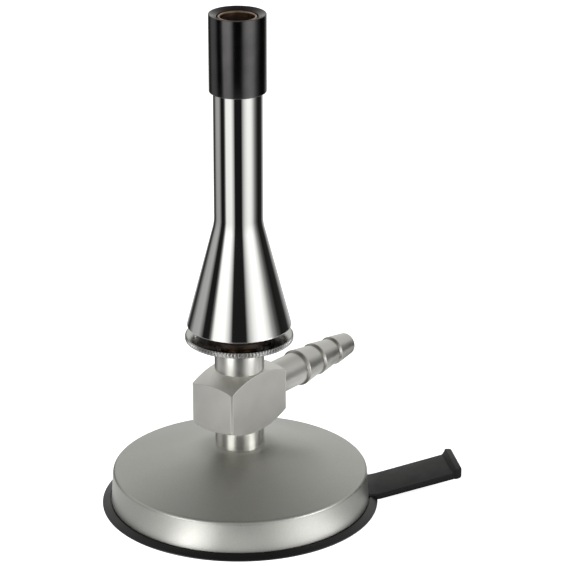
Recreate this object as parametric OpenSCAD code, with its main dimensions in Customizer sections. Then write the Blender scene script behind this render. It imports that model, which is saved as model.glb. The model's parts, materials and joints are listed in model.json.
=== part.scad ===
// Laboratory gas burner with an air regulating disc, about 157 mm tall.
// Millimetres. The origin is on the burner's axis at the level it stands on,
// +Z is up and the hose nozzle points along +X.

/* [Foot ring] */
// Thickness of the ring's floor, which the base disc stands on
foot_floor_t = 1.2; // [0.8:0.1:2.5]
// Height of the lip above that floor
foot_lip_h = 0.3; // [0.2:0.1:1.6]
// Groove between the lip and the wall of the base disc
foot_groove = 0.4; // [0.2:0.1:1]
// Width of the lip, measured outwards from the groove
foot_lip_w = 2.4; // [1.5:0.1:5]
// Height of the lip's outer edge, which the lip slopes down to
foot_edge_h = 0.5; // [0.4:0.1:0.9]
// How far the floor reaches in past the locating rib
foot_web_w = 2.2; // [1:0.1:6]
// Height of the locating rib that stands up into the base disc's recess
rib_h = 2.4; // [1:0.1:3]
// Thickness of that rib
rib_t = 1.2; // [0.8:0.1:2]

/* [Handle] */
// Direction of the handle, counted from the hose nozzle
handle_angle = -41.5; // [-180:0.5:180]
// Distance from the burner's axis to the handle's end
handle_reach = 69; // [62:1:90]
// Width of the handle
handle_w = 15; // [10:0.5:20]
// Thickness of the handle
handle_t = 2.1; // [1.6:0.1:4]
// Height of the handle's top where it leaves the ring
handle_root_h = 1.8; // [1.5:0.1:3]
// Slope at which the handle rises from the ring
handle_slope = 12.5; // [5:0.5:20]
// Height of the finger stop across the handle's end
stop_h = 1; // [0.5:0.1:3]
// Length of the finger stop along the handle
stop_l = 2; // [1:0.1:4]
// How far the finger stop stands out on each side of the handle
stop_side = 0.4; // [0:0.1:3]

/* [Base disc] */
// Diameter of the base disc at the bottom of its wall
base_d = 80; // [72:1:100]
// How much the wall leans in over its height
base_draft = 0.6; // [0:0.1:1.5]
// Height of the upright wall
base_wall_h = 10; // [8:0.5:16]
// Radius of the rounded edge between wall and top
base_edge_r = 1; // [0.5:0.1:2]
// Rise of the conical top from the edge to the burner's body
base_rise = 8.5; // [6:0.5:14]
// Width of the skirt left round the recess in the underside
base_skirt = 4.5; // [3.5:0.1:10]
// Depth of that recess
recess_depth = 4; // [3.5:0.1:6]

/* [Base screw] */
// Thread diameter of the screw that holds the body on the base
screw_d = 6; // [4:0.5:8]
// Diameter of the screw's head
screw_head_d = 10; // [9:0.5:14]
// Height of the screw's head
screw_head_h = 4; // [3:0.5:6]
// Across flats of the hexagon socket in the head
screw_socket = 5; // [3:0.5:5.5]
// How far the screw reaches into the body
screw_reach = 8.5; // [5:0.5:9]
// Thickness of the spring washer under the head
washer_t = 1.2; // [0.8:0.1:2]
// Width of the slit in the spring washer
washer_slit = 0.8; // [0.5:0.1:1.5]

/* [Body] */
// Diameter of the turned stubs under and over the block
stub_d = 15.2; // [14.4:0.1:18]
// Height of the lower stub
lower_stub_h = 6.1; // [4:0.1:12]
// Length of the block along the hose nozzle
block_l = 26.6; // [22:0.2:34]
// Width of the block
block_w = 16; // [15:0.1:20]
// Height of the block on its axis
block_h = 19; // [17:0.5:26]
// Height of the block's upright edges
block_edge_h = 12.4; // [10.5:0.1:14]
// How much the turned top and bottom bulge over a straight cone
crown_bulge = 0.35; // [0:0.05:0.6]
// Chamfer on the upright edges
block_chamfer = 0.5; // [0.2:0.1:1.2]
// Height of the upper stub
upper_stub_h = 7.6; // [7:0.1:12]
// Diameter of the gas way drilled in from the nozzle's port
gas_way_d = 5; // [4.6:0.1:6]

/* [Hose nozzle] */
// Diameter of the plain root between the block and the first barb
nozzle_root_d = 10.4; // [9.2:0.1:12]
// Length of that root
nozzle_root_l = 14.4; // [8:0.2:18]
// Diameter of the first barb at its crest
barb_first_d = 11.7; // [10:0.1:14]
// Diameter of the last barb at its crest
barb_last_d = 9.2; // [8.5:0.1:10]
// Number of barbs
barb_count = 3; // [2:1:5]
// Distance from one barb to the next
barb_pitch = 8.9; // [6:0.1:10]
// How much a barb narrows, in diameter, towards the tip
barb_taper = 2.2; // [1:0.1:2.2]
// Radius of the rounded tip
tip_r = 1.3; // [0.5:0.1:1.4]
// Diameter of the gas way through the nozzle
nozzle_way_d = 4.2; // [3:0.1:5.4]
// Thread diameter of the nozzle's spigot
port_d = 9; // [8:0.1:9]
// Length of the spigot in the body
port_l = 7.6; // [6:0.2:8]

/* [Stem] */
// Thread diameter that the air disc turns on
stem_d = 12; // [11:0.5:13]
// Height of that thread above the body
stem_h = 7.8; // [7.5:0.1:12]
// Thread diameter of the stem's foot in the upper stub
stem_foot_d = 10; // [8.5:0.5:10.5]
// Length of the foot in the upper stub
stem_foot_l = 7.4; // [5:0.1:9]
// Thread diameter of the top, which carries the spider
stem_top_d = 10; // [9:0.5:10.5]
// Diameter of the gas way up the stem
stem_way_d = 4; // [2:0.1:4.4]
// Thickness of each flat sealing ring
seal_t = 0.8; // [0.5:0.1:1.5]

/* [Gas jet] */
// Thread diameter of the jet
jet_d = 6; // [5.5:0.1:6.5]
// Length of the jet's thread
jet_thread_l = 4.5; // [3:0.1:5]
// Across flats of the jet's hexagon
jet_hex = 8; // [7.5:0.1:9]
// Height of the hexagon
jet_hex_h = 3; // [2:0.1:4]
// Height of the nose over the hexagon
jet_nose_h = 3; // [1.5:0.1:4]
// Diameter of the gas hole in the nose
jet_hole_d = 0.9; // [0.4:0.1:1.5]

/* [Air disc] */
// Diameter of the air disc over its knurl
air_disc_d = 33.1; // [31:0.1:38]
// Thickness of the air disc
air_disc_t = 1.6; // [1.2:0.1:3]
// Number of knurl teeth around the rim
knurl_count = 96; // [60:4:120]
// Depth of the knurl
knurl_depth = 0.35; // [0.1:0.05:0.6]
// Height of the air disc above the body when it is set as drawn
air_disc_lift = 2; // [1.8:0.1:2.2]
// Diameter of the bush's body in the disc
bush_d = 16; // [15:0.5:18]
// Diameter of the bush's flange on the disc
bush_flange_d = 19; // [18.5:0.5:22]
// Height of that flange
bush_flange_h = 1.2; // [0.8:0.1:1.4]

/* [Mixing tube] */
// Outer diameter of the straight tube
tube_d = 14.8; // [14:0.1:16]
// Outer diameter of the cone at its lower edge
cone_d = 31.9; // [30:0.1:36]
// Gap between the air disc and the cone's lower edge when set as drawn
air_gap = 2.8; // [2.7:0.1:4]
// Height of the cone
cone_h = 33; // [26:0.5:44]
// Radius of the blend between cone and tube
blend_r = 14; // [4:1:24]
// Length of the straight tube above the cone
tube_l = 53.3; // [40:0.5:80]
// Wall of the tube and cone
tube_wall = 0.8; // [0.6:0.05:1]

/* [Spider] */
// Height of the spider's hub
hub_h = 5; // [4:0.1:6]
// Wall of the hub round its thread
hub_wall = 2.2; // [1.5:0.1:3]
// Number of arms
arm_count = 3; // [2:1:5]
// Width of an arm
arm_w = 2.4; // [1.6:0.1:4]
// Height of the arms
arm_h = 3; // [2:0.1:3.5]
// Thickness of the rim that fits inside the cone
rim_t = 1.3; // [1:0.1:2]

/* [Burner head] */
// Outer diameter of the burner head
head_d = 17.2; // [16.9:0.1:20]
// Length of the burner head
head_l = 23.7; // [20:0.1:30]
// How far the tube reaches up into the head
head_grip = 12; // [8:0.5:13]
// Diameter of the countersink at the mouth
mouth_sink_d = 16.4; // [15:0.1:16.6]
// Depth of the countersink
mouth_sink_h = 0.8; // [0.4:0.1:1.5]
// Outer diameter of the mouth ring
mouth_d = 11.8; // [11:0.1:12.4]
// Wall of the mouth ring
mouth_wall = 0.75; // [0.5:0.05:1]
// Number of pilot flame ports round the mouth ring
pilot_count = 6; // [3:1:8]
// Diameter of a pilot flame port
pilot_d = 1.4; // [0.8:0.1:1.6]

/* [Clearances] */
// Clearance on each side of threads and seats that are fixed
fit_gap = 0.05; // [0.03:0.01:0.1]
// Clearance on each side of threads and seats that turn
turn_gap = 0.05; // [0.03:0.01:0.08]
// Clearance of a screw in its through hole, in diameter
hole_gap = 0.6; // [0.2:0.1:1]
// Slit round the mouth ring that feeds the pilot flames
pilot_slit = 0.3; // [0.2:0.05:0.5]

/* [Hidden] */
$fn = 96;

plastic_colour = "#26272a";
paint_colour = "#93948f";
nickel_colour = "#a3a39d";
chrome_colour = "#d8dadb";
brass_colour = "#b08d57";
steel_colour = "#8e9296";
fibre_colour = "#7a3b2e";
black_colour = "#1b1b1d";

// Cuts run this far past the faces they open
over = 0.5;

// Radii
base_r = base_d / 2;
rim_r = base_r - base_draft;
stub_r = stub_d / 2;
tube_r = tube_d / 2;
cone_r = cone_d / 2;
head_r = head_d / 2;
recess_r = base_r - base_skirt;
rib_r = recess_r - fit_gap;
lip_r = base_r + foot_groove;
foot_r = lip_r + foot_lip_w;

// Heights, from the ground up
base_z = foot_floor_t;
rim_z = base_z + base_wall_h;
apex_z = rim_z + base_rise;
block_z = apex_z + lower_stub_h;
gas_z = block_z + block_h / 2;
block_top_z = block_z + block_h;
stub_top_z = block_top_z + upper_stub_h;
air_disc_z = stub_top_z + air_disc_lift;
air_disc_top_z = air_disc_z + air_disc_t;
cone_z = air_disc_top_z + air_gap;
tube_z = cone_z + cone_h;
tube_top_z = tube_z + tube_l;
head_z = tube_top_z - head_grip;
head_top_z = head_z + head_l;
stem_seat_z = stub_top_z + stem_h;
stem_top_z = stem_seat_z + hub_h + 1;
screw_head_z = base_z + recess_depth;
screw_seat_z = screw_head_z + screw_head_h;
washer_z = screw_seat_z;
counterbore_z = washer_z + washer_t;

// The slope of the cone's side, in radius for each unit of height
cone_lean = (cone_r - tube_r) / cone_h;

// Points on an arc about c, from angle a0 to a1 in n steps
function arc(c, r, a0, a1, n) =
    [for (i = [0:n]) [c[0] + r * cos(a0 + (a1 - a0) * i / n), c[1] + r * sin(a0 + (a1 - a0) * i / n)]];

// A plain round ring standing on height z
module ring(outer_d, inner_d, z, h) {
    translate([0, 0, z])
        difference() {
            cylinder(d = outer_d, h = h);
            translate([0, 0, -over])
                cylinder(d = inner_d, h = h + 2 * over);
        }
}

// The ring moulded in black plastic that protects the bench, with its handle
module foot_ring() {
    lip_round = foot_edge_h / 2;
    lip_top_z = foot_floor_t + foot_lip_h;
    web_r = rib_r - rib_t - foot_web_w;
    color(plastic_colour) {
        rotate_extrude()
            polygon(concat([[web_r, 0], [foot_r - lip_round, 0]],
                arc([foot_r - lip_round, lip_round], lip_round, -90, 0, 4),
                [[foot_r, foot_edge_h], [lip_r, lip_top_z], [lip_r, foot_floor_t], [web_r, foot_floor_t]]));
        // The handle's root stops just short of the wall of the base disc
        difference() {
            rotate([0, 0, handle_angle])
                handle();
            translate([0, 0, foot_floor_t / 2])
                cylinder(r = base_r + 2 * fit_gap, h = base_wall_h);
        }
        ring(2 * rib_r, 2 * (rib_r - rib_t), foot_floor_t / 2, foot_floor_t / 2 + rib_h);
    }
}

// The handle lies along +X: a sloping strap with a finger stop across its end
module handle() {
    root_x = base_r - 2;
    run = handle_reach - foot_r;
    rise = run * tan(handle_slope);
    side = handle_w / 2;
    corner = 1.2;
    intersection() {
        rotate([90, 0, 0])
            translate([0, 0, -handle_w])
                linear_extrude(2 * handle_w)
                    polygon([[root_x, 0], [foot_r, 0], [handle_reach, rise + handle_root_h - handle_t],
                        [handle_reach, rise + handle_root_h + stop_h],
                        [handle_reach - stop_l, rise + handle_root_h + stop_h],
                        [handle_reach - stop_l - stop_h, rise + handle_root_h - (stop_l + stop_h) * tan(handle_slope)],
                        [foot_r, handle_root_h], [root_x, handle_root_h]]);
        linear_extrude(2 * handle_reach)
            polygon(concat([[0, -side], [handle_reach - stop_l - stop_side, -side],
                    [handle_reach - stop_l, -side - stop_side]],
                arc([handle_reach - corner, -side - stop_side + corner], corner, -90, 0, 5),
                arc([handle_reach - corner, side + stop_side - corner], corner, 0, 90, 5),
                [[handle_reach - stop_l, side + stop_side],
                    [handle_reach - stop_l - stop_side, side], [0, side]]));
    }
}

// The heavy base disc with its shallow conical top
module base_disc() {
    edge_c = [rim_r - base_edge_r, rim_z - base_edge_r];
    lean = atan2(base_rise, rim_r - stub_r);
    centre_d = 2 * (screw_head_d + hole_gap);
    color(paint_colour)
        difference() {
            rotate_extrude()
                polygon(concat([[0, base_z], [base_r, base_z]],
                    arc(edge_c, base_edge_r, 0, 90 - lean, 8),
                    [[stub_r, apex_z], [0, apex_z]]));
            translate([0, 0, base_z - over])
                cylinder(r = recess_r, h = recess_depth + over);
            translate([0, 0, base_z])
                cylinder(d = screw_d + hole_gap, h = apex_z);
            translate([0, 0, base_z])
                cylinder(d = screw_head_d + 2 * hole_gap + 2, h = counterbore_z - base_z);
        }
}

// The socket head screw that clamps the body on the base
module base_screw() {
    color(steel_colour)
        difference() {
            union() {
                translate([0, 0, screw_head_z])
                    cylinder(d = screw_head_d, h = screw_head_h);
                translate([0, 0, screw_seat_z])
                    cylinder(d = screw_d - 2 * fit_gap, h = apex_z + screw_reach - screw_seat_z);
            }
            translate([0, 0, screw_head_z - over])
                cylinder(d = screw_socket / cos(30), h = screw_head_h / 2 + over, $fn = 6);
        }
}

// The split spring washer under the screw's head
module base_washer() {
    color(steel_colour)
        difference() {
            ring(screw_head_d + 1, screw_d + hole_gap, washer_z, washer_t);
            translate([screw_head_d / 2, 0, washer_z + washer_t / 2])
                rotate([35, 0, 0])
                    cube([screw_head_d, washer_slit, 4 * washer_t], center = true);
        }
}

// The bar that is left when the block's top and bottom are turned to crowns
module block_crowns() {
    corner_r = norm([block_l, block_w]) / 2;
    drop = (block_h - block_edge_h) / 2;
    run = corner_r - stub_r;
    crown = [for (i = [0:6]) let (t = i / 6)
        [stub_r + run * t, -drop * t + 4 * crown_bulge * t * (1 - t)]];
    rotate_extrude()
        polygon(concat([[0, block_top_z]],
            [for (p = crown) [p[0], block_top_z + p[1]]],
            [for (i = [6:-1:0]) [crown[i][0], block_z - crown[i][1]]],
            [[0, block_z]]));
}

// The block and its two stubs, turned and milled from one bar
module burner_body() {
    half_l = block_l / 2;
    half_w = block_w / 2;
    cut = block_chamfer;
    port_depth = port_l + seal_t;
    foot_depth = stem_foot_l + seal_t;
    color(nickel_colour)
        difference() {
            union() {
                translate([0, 0, apex_z])
                    cylinder(r = stub_r, h = lower_stub_h + over);
                intersection() {
                    translate([0, 0, block_z])
                        linear_extrude(block_h)
                            polygon([[half_l - cut, -half_w], [half_l, -half_w + cut],
                                [half_l, half_w - cut], [half_l - cut, half_w],
                                [-half_l + cut, half_w], [-half_l, half_w - cut],
                                [-half_l, -half_w + cut], [-half_l + cut, -half_w]]);
                    block_crowns();
                }
                translate([0, 0, block_top_z - over])
                    cylinder(r = stub_r, h = upper_stub_h + over);
            }
            // Port of the hose nozzle, and the way on to the middle
            translate([half_l - port_depth, 0, gas_z])
                rotate([0, 90, 0])
                    cylinder(d = port_d, h = port_depth + over);
            translate([-gas_way_d / 2 - 1, 0, gas_z])
                rotate([0, 90, 0])
                    cylinder(d = gas_way_d, h = half_l);
            // Way up to the stem, and the stem's port
            translate([0, 0, gas_z])
                cylinder(d = stem_way_d, h = stub_top_z - gas_z);
            translate([0, 0, stub_top_z - foot_depth])
                cylinder(d = stem_foot_d, h = foot_depth + over);
            // Blind hole of the base screw
            translate([0, 0, apex_z - over])
                cylinder(d = screw_d, h = screw_reach + 0.5 + over);
        }
}

// Outline of the nozzle from the block's face outwards, as radius and length
function barb_r(i) = (barb_first_d + (barb_last_d - barb_first_d) * i / (barb_count - 1)) / 2;
function barb_x(i) = nozzle_root_l + barb_pitch * i;

// The barbed nozzle that the gas hose is pushed onto
module hose_nozzle() {
    tip_x = barb_x(barb_count);
    tip_d = barb_last_d - barb_taper;
    spigot_r = port_d / 2 - fit_gap;
    color(nickel_colour)
        translate([block_l / 2, 0, gas_z])
            rotate([0, 90, 0])
                difference() {
                    rotate_extrude()
                        polygon(concat([[0, -port_l], [spigot_r, -port_l], [spigot_r, 0],
                            [nozzle_root_d / 2, 0], [nozzle_root_d / 2, nozzle_root_l]],
                            [for (i = [0:barb_count - 1], end = [0, 1])
                                (end == 0) ? [barb_r(i), barb_x(i)]
                                : (i < barb_count - 1) ? [barb_r(i) - barb_taper / 2, barb_x(i + 1)]
                                : [tip_d / 2, tip_x - tip_r]],
                            arc([tip_d / 2 - tip_r, tip_x - tip_r], tip_r, 0, 90, 5),
                            [[0, tip_x]]));
                    translate([0, 0, -port_l - over])
                        cylinder(d = nozzle_way_d, h = port_l + tip_x + 2 * over);
                }
}

// The sealing ring at the bottom of the nozzle's port
module nozzle_seal() {
    color(fibre_colour)
        translate([block_l / 2 - port_l - seal_t, 0, gas_z])
            rotate([0, 90, 0])
                ring(port_d - 2 * fit_gap, nozzle_way_d, 0, seal_t);
}

// The threaded stem that brings the gas up and carries the upper parts
module stem() {
    color(brass_colour)
        difference() {
            union() {
                translate([0, 0, stub_top_z - stem_foot_l])
                    cylinder(d = stem_foot_d - 2 * fit_gap, h = stem_foot_l + over);
                translate([0, 0, stub_top_z])
                    cylinder(d = stem_d, h = stem_h);
                translate([0, 0, stem_seat_z - over])
                    cylinder(d = stem_top_d, h = stem_top_z - stem_seat_z + over);
            }
            translate([0, 0, stub_top_z - stem_foot_l - over])
                cylinder(d = stem_way_d, h = stem_top_z - stub_top_z + stem_foot_l + 2 * over);
            translate([0, 0, stem_top_z - jet_thread_l - 0.5])
                cylinder(d = jet_d, h = jet_thread_l + 0.5 + over);
        }
}

// The sealing ring under the stem's foot
module stem_seal() {
    color(fibre_colour)
        ring(stem_foot_d - 2 * fit_gap, stem_way_d, stub_top_z - stem_foot_l - seal_t, seal_t);
}

// The brass jet that blows the gas up the mixing tube
module gas_jet() {
    hex_z = stem_top_z + seal_t;
    nose_z = hex_z + jet_hex_h;
    nose_d = jet_hex - 2.4;
    thread_r = jet_d / 2 - fit_gap;
    color(brass_colour)
        difference() {
            union() {
                translate([0, 0, stem_top_z - jet_thread_l])
                    cylinder(r = thread_r, h = jet_thread_l + seal_t + over);
                translate([0, 0, hex_z])
                    cylinder(d = jet_hex / cos(30), h = jet_hex_h, $fn = 6);
                translate([0, 0, nose_z - over])
                    cylinder(d = nose_d, h = jet_nose_h / 2 + over);
                translate([0, 0, nose_z + jet_nose_h / 2])
                    cylinder(d1 = nose_d, d2 = nose_d / 2, h = jet_nose_h / 2);
            }
            translate([0, 0, stem_top_z - jet_thread_l - over])
                cylinder(d = jet_d / 2, h = jet_thread_l + seal_t + jet_hex_h + over);
            translate([0, 0, nose_z - over])
                cylinder(d = jet_hole_d, h = jet_nose_h + 2 * over);
        }
}

// The sealing ring between the jet and the stem
module jet_seal() {
    color(fibre_colour)
        ring(jet_hex - 0.4, jet_d + 2 * fit_gap, stem_top_z, seal_t);
}

// The threaded bush in the middle of the air disc
module disc_bush() {
    color(brass_colour)
        difference() {
            union() {
                translate([0, 0, air_disc_z])
                    cylinder(d = bush_d, h = air_disc_t + over);
                translate([0, 0, air_disc_top_z + turn_gap])
                    cylinder(d = bush_flange_d, h = bush_flange_h);
            }
            translate([0, 0, air_disc_z - over])
                cylinder(d = stem_d + 2 * turn_gap, h = air_disc_t + bush_flange_h + 2 * over);
        }
}

// The knurled disc that closes or opens the cone to the air
module air_disc() {
    disc_r = air_disc_d / 2;
    root_r = disc_r - knurl_depth;
    bevel = 0.25;
    step = 360 / knurl_count;
    color(chrome_colour)
        difference() {
            intersection() {
                translate([0, 0, air_disc_z])
                    linear_extrude(air_disc_t)
                        polygon([for (i = [0:knurl_count - 1], side = [0, 1])
                            let (r = (side == 0) ? disc_r : root_r, a = (i + side / 2) * step)
                            [r * cos(a), r * sin(a)]]);
                translate([0, 0, air_disc_z])
                    rotate_extrude()
                        polygon([[0, 0], [disc_r - bevel, 0], [disc_r + over, bevel + over],
                            [disc_r + over, air_disc_t - bevel - over],
                            [disc_r - bevel, air_disc_t], [0, air_disc_t]]);
            }
            translate([0, 0, air_disc_z - over])
                cylinder(d = bush_d + 2 * turn_gap, h = air_disc_t + 2 * over);
        }
}

// Radius of the cone's outer side at a height
function cone_side_r(z) = cone_r - (z - cone_z) * cone_lean;

// The hub, arms and rim that hold the mixing tube on the stem
module tube_spider() {
    rim_z0 = stem_seat_z + 0.4;
    rim_z1 = rim_z0 + arm_h + 0.6;
    skin = tube_wall / cos(atan(cone_lean)) + fit_gap;
    arm_z = rim_z0 + 0.3;
    hub_d = stem_top_d + 2 * hub_wall;
    color(brass_colour)
        difference() {
            union() {
                translate([0, 0, stem_seat_z])
                    cylinder(d = hub_d, h = hub_h);
                rotate_extrude()
                    polygon([[cone_side_r(rim_z0) - skin - rim_t, rim_z0],
                        [cone_side_r(rim_z0) - skin, rim_z0],
                        [cone_side_r(rim_z1) - skin, rim_z1],
                        [cone_side_r(rim_z1) - skin - rim_t, rim_z1]]);
                for (i = [0:arm_count - 1])
                    rotate([0, 0, i * 360 / arm_count])
                        translate([hub_d / 2 - 0.5, -arm_w / 2, arm_z])
                            cube([cone_side_r(rim_z1) - skin - rim_t / 2 - hub_d / 2 + 0.5, arm_w, arm_h]);
            }
            translate([0, 0, stem_seat_z - over])
                cylinder(d = stem_top_d + 2 * fit_gap, h = hub_h + 2 * over);
        }
}

// Outline of the mixing tube at a distance inside its outer skin
function tube_side(inset) =
    let (lean = atan(cone_lean),
        shift = inset / cos(lean),
        // The blend is tangent to the cone and to the tube
        r = blend_r + inset,
        back = blend_r * tan(lean / 2),
        c = [tube_r + blend_r, tube_z + back])
    concat([[cone_side_r(cone_z) - shift, cone_z]],
        arc(c, r, 180 + lean, 180, 6),
        [[tube_r - inset, tube_top_z]]);

// The chromed tube, spun out to a cone at its foot
module mixing_tube() {
    bead = tube_wall / 2;
    color(chrome_colour) {
        difference() {
            rotate_extrude()
                polygon(concat([[0, cone_z + bead]],
                    [for (p = tube_side(0)) [p[0], max(p[1], cone_z + bead)]],
                    [[0, tube_top_z]]));
            rotate_extrude()
                polygon(concat([[0, cone_z + bead - over]],
                    [[tube_side(tube_wall)[0][0] + over * cone_lean, cone_z + bead - over]],
                    [for (i = [1:8]) tube_side(tube_wall)[i]],
                    [[tube_r - tube_wall, tube_top_z + over], [0, tube_top_z + over]]));
        }
    }
}

// The black head that steadies the flame
module burner_head() {
    grip_z = tube_top_z + 0.1;
    bevel = 0.3;
    lip_z = head_top_z - mouth_sink_h;
    seat_d = mouth_d + 2 * fit_gap;
    chamber_d = mouth_d + 2.6;
    color(black_colour)
        difference() {
            translate([0, 0, head_z])
                rotate_extrude()
                    polygon([[0, 0], [head_r - bevel, 0], [head_r, bevel], [head_r, head_l - bevel],
                        [head_r - bevel / 2, head_l], [0, head_l]]);
            // Seat of the tube
            translate([0, 0, head_z - over])
                cylinder(r = tube_r + fit_gap, h = grip_z - head_z + over);
            // Seat of the mouth ring, the gas chamber round it and the pilot slit
            translate([0, 0, grip_z - over])
                cylinder(d = seat_d, h = 3 + over);
            translate([0, 0, grip_z + 2.5])
                cylinder(d = chamber_d, h = lip_z - 1.5 - grip_z - 2.5);
            translate([0, 0, lip_z - 2])
                cylinder(d = mouth_d + 2 * pilot_slit, h = 2 + over);
            translate([0, 0, lip_z])
                cylinder(d1 = mouth_d + 2 * pilot_slit, d2 = mouth_sink_d, h = mouth_sink_h);
            translate([0, 0, head_top_z])
                cylinder(d = mouth_sink_d, h = over);
        }
}

// The ring in the head's mouth, with the ports of the pilot flames
module mouth_ring() {
    ring_z = tube_top_z + 0.1;
    ring_top_z = head_top_z - mouth_sink_h;
    outer_r = mouth_d / 2;
    inner_r = outer_r - mouth_wall;
    color(brass_colour)
        difference() {
            rotate_extrude()
                polygon(concat([[inner_r, ring_z], [outer_r, ring_z]],
                    arc([outer_r - mouth_wall / 2, ring_top_z - mouth_wall / 2], mouth_wall / 2, 0, 180, 8)));
            for (i = [0:pilot_count - 1])
                rotate([0, 0, i * 360 / pilot_count])
                    translate([inner_r - 1, 0, ring_z + 4.5])
                        rotate([0, 90, 0])
                            cylinder(d = pilot_d, h = mouth_wall + 2);
        }
}

foot_ring();
base_disc();
base_screw();
base_washer();
burner_body();
hose_nozzle();
nozzle_seal();
stem();
stem_seal();
gas_jet();
jet_seal();
disc_bush();
air_disc();
tube_spider();
mixing_tube();
burner_head();
mouth_ring();
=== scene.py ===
# %% [markdown]
# # A laboratory gas burner, dressed for the studio
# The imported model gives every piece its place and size. This lesson makes a fine mesh for each
# piece that shows, gives each one the finish of its real material, and lights it as a studio
# would. Everything is in metres, with +Z up and the hose nozzle along +X.

# %% Load the frame
import json
import math

import bmesh
import bpy
from mathutils import Matrix, Vector


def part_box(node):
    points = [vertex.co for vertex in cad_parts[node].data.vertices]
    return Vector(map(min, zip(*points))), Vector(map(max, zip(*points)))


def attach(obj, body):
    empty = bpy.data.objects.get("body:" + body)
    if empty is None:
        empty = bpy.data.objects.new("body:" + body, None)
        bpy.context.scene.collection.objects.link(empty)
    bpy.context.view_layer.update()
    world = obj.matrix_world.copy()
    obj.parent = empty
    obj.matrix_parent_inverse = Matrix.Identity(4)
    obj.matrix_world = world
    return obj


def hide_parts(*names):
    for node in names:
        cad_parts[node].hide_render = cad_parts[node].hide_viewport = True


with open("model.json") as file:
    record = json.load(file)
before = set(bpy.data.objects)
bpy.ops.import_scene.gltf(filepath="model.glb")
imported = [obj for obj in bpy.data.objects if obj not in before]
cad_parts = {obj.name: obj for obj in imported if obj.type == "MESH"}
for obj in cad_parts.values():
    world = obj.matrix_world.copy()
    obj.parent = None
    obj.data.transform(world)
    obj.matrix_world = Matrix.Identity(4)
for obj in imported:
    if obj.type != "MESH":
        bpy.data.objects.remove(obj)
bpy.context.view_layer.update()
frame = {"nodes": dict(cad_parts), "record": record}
MM = 0.001

# %% [markdown]
# ## The camera
# The burner is seen from some way off, a little from above. The hose nozzle points to the right
# and away, so the camera stands turned by that angle about the burner's axis. A short lens close
# by would splay the tube's sides. A long lens keeps them almost parallel, as in a catalogue.

# %% Camera
NOZZLE_TURN = math.radians(51.3)
CAMERA_SIDE = 13.33
CAMERA_BACK = 782.1
CAMERA_HEIGHT = 377.2
CAMERA_PITCH = math.radians(21.29)
LENS = 176.5
NEAR_CLIP = 0.01


def picture_direction(side, back, up=0.0):
    """A direction given as the picture's right, towards the camera, and up, in the frame's axes."""
    return Matrix.Rotation(-NOZZLE_TURN, 3, "Z") @ Vector((side, -back, up))


camera_data = bpy.data.cameras.new("camera")
camera_data.lens = LENS
camera_data.clip_start = NEAR_CLIP
camera = bpy.data.objects.new("camera", camera_data)
bpy.context.scene.collection.objects.link(camera)
bpy.context.scene.camera = camera
camera.location = picture_direction(CAMERA_SIDE, CAMERA_BACK, CAMERA_HEIGHT) * MM
camera.rotation_euler = (math.pi / 2 - CAMERA_PITCH, 0, -NOZZLE_TURN)
bpy.context.scene.view_settings.view_transform = "Standard"
print("camera stands", round(camera.location.length, 3), "m from the burner's foot")

# %% [markdown]
# ## Colours and nodes
# Paint charts give colours as sRGB hex values, and light is reckoned in linear ones, so one
# function turns the first into the second. A material is a tree of nodes. The tree could be
# clicked together by hand, but a script can be read and run again, so a second function adds a
# node, sets its values and links it.


# %% Colour and node tools
def linear(hex_colour):
    """The linear colour of an sRGB hex value such as #8c8f88."""
    channels = [int(hex_colour[i:i + 2], 16) / 255 for i in (1, 3, 5)]
    return tuple(c / 12.92 if c <= 0.04045 else ((c + 0.055) / 1.055) ** 2.4 for c in channels) + (1,)


def add(tree, kind, settings=None, links=None):
    """Adds a node. Settings are its attributes, or values of inputs by number or name; links
    go from an output to an input of the new node."""
    made = tree.nodes.new(kind)
    for key, value in (settings or {}).items():
        if isinstance(key, str) and hasattr(made, key):
            setattr(made, key, value)
        else:
            made.inputs[key].default_value = value
    for key, output in (links or {}).items():
        tree.links.new(output, made.inputs[key])
    return made


print("mid grey #777777 is", [round(c, 3) for c in linear("#777777")[:3]], "in linear light")

# %% [markdown]
# ## The studio's directions
# Polished metal has no look of its own: it shows the room. In a studio, white screens and black
# cards stand around it, and the tube wears them as upright stripes. They could be planes with
# lamps behind them. Here the world itself is that ring of screens and cards, given by direction,
# so nothing stands in the camera's way. The first step turns a direction into a place on the ring.


# %% Direction tools
def bearing(tree, vector):
    """A vector's place round the burner, from 0 behind it past 0.5 at the camera to 1 behind it,
    and its parts along the picture's right, the picture's depth and up."""
    turned = add(tree, "ShaderNodeVectorRotate", {"rotation_type": "Z_AXIS", "Angle": NOZZLE_TURN},
                 {"Vector": vector})
    parts = add(tree, "ShaderNodeSeparateXYZ", {}, {"Vector": turned.outputs["Vector"]})
    towards = add(tree, "ShaderNodeMath", {"operation": "MULTIPLY", 1: -1.0}, {0: parts.outputs["Y"]})
    angle = add(tree, "ShaderNodeMath", {"operation": "ARCTAN2"},
                {0: parts.outputs["X"], 1: towards.outputs[0]})
    around = add(tree, "ShaderNodeMapRange", {"From Min": -math.pi, "From Max": math.pi},
                 {"Value": angle.outputs[0]})
    return around.outputs["Result"], parts


def by_angle(lights, strongest=1.0):
    """Stops for a ramp round the burner, as shares of the strongest light."""
    return [((angle + 180) / 360, level / strongest) for angle, level in lights]


def fill_stops(ramp, stops):
    """Gives a colour ramp its (place, brightness) stops. Returns its colour."""
    elements = ramp.color_ramp.elements
    while len(elements) > 1:
        elements.remove(elements[-1])
    for i, (place, level) in enumerate(stops):
        element = elements[0] if i == 0 else elements.new(place)
        element.position = place
        element.color = (level, level, level, 1)
    return ramp.outputs["Color"]


print("the camera's side is at", by_angle([(0, 1)])[0][0], "of the way round")

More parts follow.
